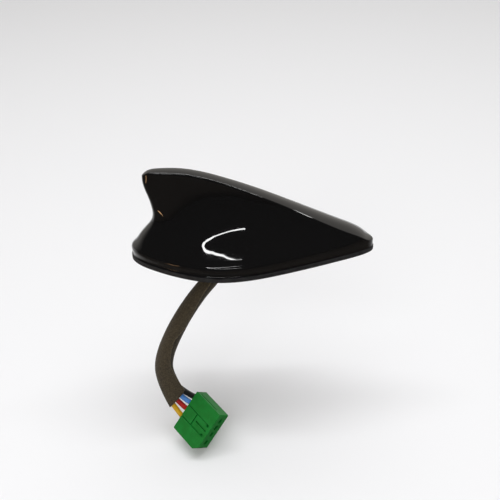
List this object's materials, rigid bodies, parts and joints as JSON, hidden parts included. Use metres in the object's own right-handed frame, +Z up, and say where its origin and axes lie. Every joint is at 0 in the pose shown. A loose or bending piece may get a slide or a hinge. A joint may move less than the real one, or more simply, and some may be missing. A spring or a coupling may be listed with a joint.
{
  "type": "car antenna",
  "caption": "Shark-fin roof antenna with a gloss black moulded cover on a rubber seal, a cast base with a roof stud, and a short sleeved pigtail ending in a green plug.",
  "frame": {"origin": "on the stud's axis, in the plane where the seal rests on the roof", "axes": "+X forward to the nose, +Z up off the roof"},
  "size_m": [0.1657, 0.0981, 0.2008],
  "materials": {
    "cover_black": "high-gloss black paint",
    "seal_rubber": "matt",
    "cast_base": "as cast",
    "stud_steel": "zinc plated",
    "screw_steel": "zinc plated",
    "board_green": "solder mask",
    "patch_ceramic": "sintered, silvered top",
    "can_tin": "tinned",
    "hat_brass": "bare",
    "boot_rubber": "matt",
    "sleeve_fleece": "matt fleece",
    "connector_green": "satin moulding",
    "terminal_tin": "tinned",
    "wire_yellow": "satin insulation",
    "wire_red": "satin insulation",
    "wire_blue": "satin insulation",
    "wire_black": "satin insulation"
  },
  "bodies": {
    "root": {"cover": "cover_black", "seal_pad": "seal_rubber", "base_plate": "cast_base", "roof_stud": "stud_steel", "cover_screws": "screw_steel", "main_board": "board_green", "board_screws": "screw_steel", "patch_antenna": "patch_ceramic", "feed_pin": "terminal_tin", "shield_can": "can_tin", "element_board": "board_green", "top_load_hat": "hat_brass", "cable_boot": "boot_rubber", "cable_sleeve": "sleeve_fleece", "connector_housing": "connector_green", "connector_terminals": "terminal_tin", "wire_yellow": "wire_yellow", "wire_red": "wire_red", "wire_blue": "wire_blue", "wire_black": "wire_black"}
  },
  "joints": []
}
